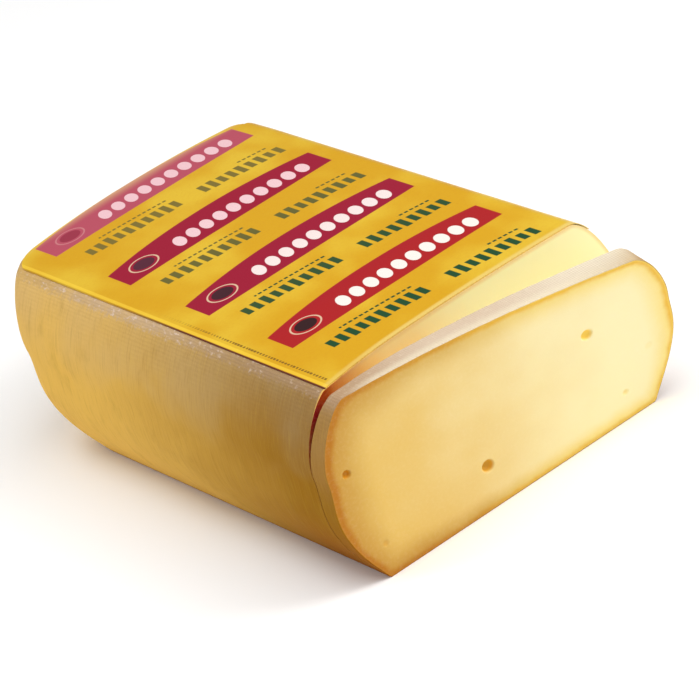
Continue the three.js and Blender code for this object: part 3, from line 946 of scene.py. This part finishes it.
def print_material():
    """Printed film: warm yellow with red bands, and rows of dark green bars and dashes between them.

    Each band has a row of pale ovals and a ringed disc.
    """
    g = Graph("film_print", 0.34, Specular_IOR_Level=0.3)
    patch = g.noise((30, 44, 30), 2.0)
    colour = g.mix(g.smooth(patch, 0.42, 0.7), linear(208, 157, 14), linear(218, 180, 44))
    dots = g.noise((1.3, 1.3, 1.3), 2.0)
    colour = g.mix(g.smooth(dots, 0.4, 0.8, 0.0, 0.14), colour, linear(196, 124, 6))

    # the place in a repeat, counted along the film, and from the band's near edge
    start = BAND_NEAR - BAND_BEFORE
    repeat = g.math("WRAP", g.y, start + BAND_PITCH, start)
    near = g.minus(repeat, BAND_NEAR)
    half = (BAND_X[1] - BAND_X[0]) / 2
    centred = g.times(g.minus(g.x, (BAND_X[1] + BAND_X[0]) / 2), 1 / half)
    bow = g.math("MAXIMUM", g.minus(1.0, g.times(centred, centred)), 0.0)
    # painted glare: towards the far end the print's red, pale ovals, rings, dark cores and green bars are
    # washed out into a pinkish haze
    far = g.smooth(g.y, 50, 190)
    farthest_glare = g.smooth(g.y, 176, 206)

    red = g.mix(g.smooth(g.y, 45, 90), linear(166, 20, 24), linear(150, 8, 44))
    red = g.mix(farthest_glare, red, linear(178, 74, 92))
    colour = g.mix(band_field(g, near, centred, bow), colour, red)
    pale = g.mix(far, linear(236, 230, 222), linear(232, 190, 196))
    colour = g.mix(band_leaves(g, near, bow), colour, pale)
    ring, core = band_disc(g, near)
    colour = g.mix(ring, colour, g.mix(farthest_glare, linear(214, 180, 150), linear(196, 120, 124)))
    dark = g.mix(far, linear(46, 14, 18), linear(84, 30, 50))
    colour = g.mix(core, colour, g.mix(farthest_glare, dark, linear(150, 44, 66)))
    green = g.mix(far, linear(22, 70, 38), linear(120, 104, 40))
    colour = g.mix(word_bars(g, repeat), colour, green)
    colour = g.mix(edge_marks(g), colour, linear(108, 74, 20))

    # a pale near margin, a painted highlight of the lit edge at the cut; a pale far margin, painted glare;
    # a bright margin along the left edge; and a dark line along it, a painted shadow of the film's edge
    # painted highlight along the film's near edge, stronger towards the right
    lit_near_edge = g.smooth(behind_cut(g), 1.8, 3.6, 1.0, 0.0)
    lit_near_edge = g.times(lit_near_edge, g.smooth(g.x, -50, -20, 0.5, 0.85))
    colour = g.mix(lit_near_edge, colour, linear(224, 195, 108))
    # painted glare: the film's far edge made pale
    colour = g.mix(g.smooth(g.y, 225, 237, 0.0, 0.6), colour, linear(232, 208, 140))
    left_edge = -LEFT["top"]
    margin = band_mask(g, g.x, left_edge + 0.7, left_edge + 2.2, 0.2)
    colour = g.mix(g.times(margin, 0.5), colour, linear(244, 206, 60))
    # painted shadow: a dark line along the film's left edge, fading further along
    rim = g.smooth(g.x, left_edge + 0.3, left_edge + 0.8, 1.0, 0.0)
    rim = g.times(rim, g.smooth(g.y, 90, 160, 1.0, 0.3))
    colour = g.mix(rim, colour, linear(96, 36, 20))
    normal = g.bump(patch, 0.3, 0.7)
    normal = g.bump(dots, 0.05, 0.1, normal)
    return g.finish(colour, normal)


def band_mask(g, value, low, high, soft):
    """1 where value is between low and high, with edges that wide."""
    return g.times(
        g.smooth(value, low - soft, low + soft),
        g.smooth(value, high - soft, high + soft, 1.0, 0.0),
    )


def band_field(g, near, centred, bow):
    """The red field of a band, deeper in its middle."""
    low = g.add(near, g.times(bow, BAND_BOW_NEAR))
    high = g.minus(near, g.add(g.times(bow, BAND_BOW_FAR), BAND_DEEP))
    depth = g.times(g.smooth(low, -0.15, 0.15), g.smooth(high, -0.15, 0.15, 1.0, 0.0))
    return g.times(band_mask(g, centred, -1.0, 1.0, 0.003), depth)


def band_leaves(g, near, bow):
    """A row of pale upright ovals, slightly slanted."""
    slanted = g.add(g.x, g.times(near, -LEAF_SLANT))
    along = g.times(g.minus(slanted, LEAF_START), 1 / LEAF_PITCH)
    inside = band_mask(g, along, 0.0, float(LEAF_COUNT), 0.01)
    beside = g.times(g.math("ABSOLUTE", g.minus(g.math("FRACT", along), 0.5)), LEAF_PITCH)
    half_width, half_height = LEAF_HALF
    centre = g.times(g.minus(near, g.math("MULTIPLY_ADD", bow, LEAF_RISE, LEAF_MIDDLE)), 1 / half_height)
    width = g.math("SQRT", g.math("MAXIMUM", g.minus(1.0, g.times(centre, centre)), 0.0))
    width = g.times(width, half_width)
    inside = g.times(inside, g.smooth(g.math("ABSOLUTE", centre), 0.97, 1.0, 1.0, 0.0))
    return g.times(inside, g.smooth(g.minus(beside, width), -0.15, 0.15, 1.0, 0.0))


def band_disc(g, near):
    """A pale ring with a dark core near the left end of each band."""
    across = g.math("POWER", g.minus(g.x, DISC_X), 2.0)
    along = g.math("POWER", g.minus(near, DISC_MIDDLE), 2.0)
    away = g.math("SQRT", g.add(across, along))
    ring = band_mask(g, away, *DISC_RING, 0.12)
    core = g.smooth(away, DISC_CORE - 0.15, DISC_CORE + 0.15, 1.0, 0.0)
    return ring, core


def word_bars(g, repeat):
    """Dark green upright bars in two groups, of alternating heights, with thin dashes beside them."""
    line = g.add(repeat, g.times(g.x, BAR_SLANT))
    along = g.times(g.minus(g.x, BAR_START), 1 / BAR_PITCH)
    beside = g.times(g.math("ABSOLUTE", g.minus(g.math("FRACT", along), 0.5)), BAR_PITCH)
    tall = g.math("FRACT", g.times(g.math("FLOOR", along), 0.37))
    reach = g.math("MULTIPLY_ADD", tall, 1.2, 3.4)
    above = g.minus(g.math("ABSOLUTE", g.minus(line, BAR_LINE)), reach)
    bars = g.times(g.smooth(beside, 1.15, 1.5, 1.0, 0.0), g.smooth(above, -0.15, 0.15, 1.0, 0.0))
    groups = g.most(*[band_mask(g, g.x, low, high, 0.1) for low, high in BAR_GROUPS])
    dash = g.smooth(g.math("FRACT", g.times(g.x, 1 / DASH_PITCH)), 0.58, 0.74, 1.0, 0.0)
    spans = g.most(*[band_mask(g, g.x, low, high, 0.1) for low, high in DASH_SPANS])
    dashes = g.times(g.times(dash, spans), band_mask(g, line, *DASH_LINE, 0.12))
    return g.most(g.times(bars, groups), dashes)


def edge_marks(g):
    """A line of tiny dashes along the film's left edge."""
    local = g.math("FRACT", g.times(g.y, 1 / MARK_PITCH))
    width = g.smooth(g.noise((5, 5, 5), 1.0), 0.3, 0.7, 0.35, 0.85)
    dashes = g.math("LESS_THAN", local, width)
    line = band_mask(g, g.x, *MARK_LINE, 0.12)
    reach = g.times(g.smooth(g.y, 0.5, 1.5), g.smooth(g.y, 60, 124, 0.85, 0.0))
    return g.times(g.times(dashes, line), reach)


# Stage, light and camera

CAMERA_PLACE = (-614.3, -1241.83, 742.6)
CAMERA_AZIMUTH = math.radians(-24.847)
CAMERA_ELEVATION = math.radians(25.781)
CAMERA_ROLL = math.radians(-22.41)
CAMERA_LENS = 222.8


def make_camera():
    """The photograph's view: a long lens with the horizon rolled."""
    az, el, roll = CAMERA_AZIMUTH, CAMERA_ELEVATION, CAMERA_ROLL
    back = Vector((math.sin(az) * math.cos(el), -math.cos(az) * math.cos(el), math.sin(el)))
    right = (-back).cross(Vector((0, 0, 1))).normalized()
    up = right.cross(-back)
    rolled_right = right * math.cos(roll) + up * math.sin(roll)
    rolled_up = up * math.cos(roll) - right * math.sin(roll)
    data = bpy.data.cameras.new("camera")
    data.lens = CAMERA_LENS
    data.sensor_width = 36.0
    data.clip_start, data.clip_end = 0.05, 20.0
    camera = bpy.data.objects.new("camera", data)
    turn = Matrix((rolled_right, rolled_up, back)).transposed().to_4x4()
    camera.matrix_world = Matrix.Translation(place(CAMERA_PLACE)) @ turn
    bpy.context.scene.collection.objects.link(camera)
    bpy.context.scene.camera = camera


def area_light(name, place_m, aim, size, power, colour=(1.0, 1.0, 1.0)):
    data = bpy.data.lights.new(name, "AREA")
    data.shape = "RECTANGLE"
    data.size, data.size_y = size
    data.energy = power
    data.color = colour
    light = bpy.data.objects.new(name, data)
    light.location = place_m
    light.rotation_mode = "QUATERNION"
    light.rotation_quaternion = (Vector(aim) - Vector(place_m)).to_track_quat("-Z", "Y")
    bpy.context.scene.collection.objects.link(light)


def make_stage():
    """A pale floor, an even white surround and four soft lights."""
    reach = 6.0
    mesh = bpy.data.meshes.new("floor")
    corners = [(-reach, -reach, 0), (reach, -reach, 0), (reach, reach, 0), (-reach, reach, 0)]
    mesh.from_pydata(corners, [], [(0, 1, 2, 3)])
    floor = bpy.data.objects.new("floor", mesh)
    material = bpy.data.materials.new("floor_pale")
    material.use_nodes = True
    shader = material.node_tree.nodes["Principled BSDF"]
    shader.inputs["Base Color"].default_value = (0.97, 0.97, 0.97, 1.0)
    shader.inputs["Roughness"].default_value = 0.9
    mesh.materials.append(material)
    bpy.context.scene.collection.objects.link(floor)

    world = bpy.data.worlds.new("surround")
    world.use_nodes = True
    background = world.node_tree.nodes["Background"]
    background.inputs["Color"].default_value = (1.0, 1.0, 1.0, 1.0)
    background.inputs["Strength"].default_value = 0.2
    bpy.context.scene.world = world
    bpy.context.scene.view_settings.view_transform = "Standard"

    area_light("overhead", (0.25, -0.75, 1.4), (0.0, -0.05, 0.0), (1.7, 1.5), 20.0)
    area_light("key", (0.85, -1.0, 1.0), (0.0, -0.1, 0.04), (0.6, 0.6), 10.0, (1.0, 0.98, 0.95))
    area_light("far_left", (-1.1, 0.95, 0.55), (-0.05, 0.1, 0.04), (0.8, 0.6), 8.0)
    area_light("behind", (-0.35, 0.75, 2.1), (-0.1, 0.35, 0.0), (1.4, 1.0), 13.0)


def main():
    make_camera()
    make_stage()
    rind = rind_material()
    paste = paste_material()
    loaf_body(rind, paste)
    slice_body(rind, paste)
    top_film(print_material())


main()
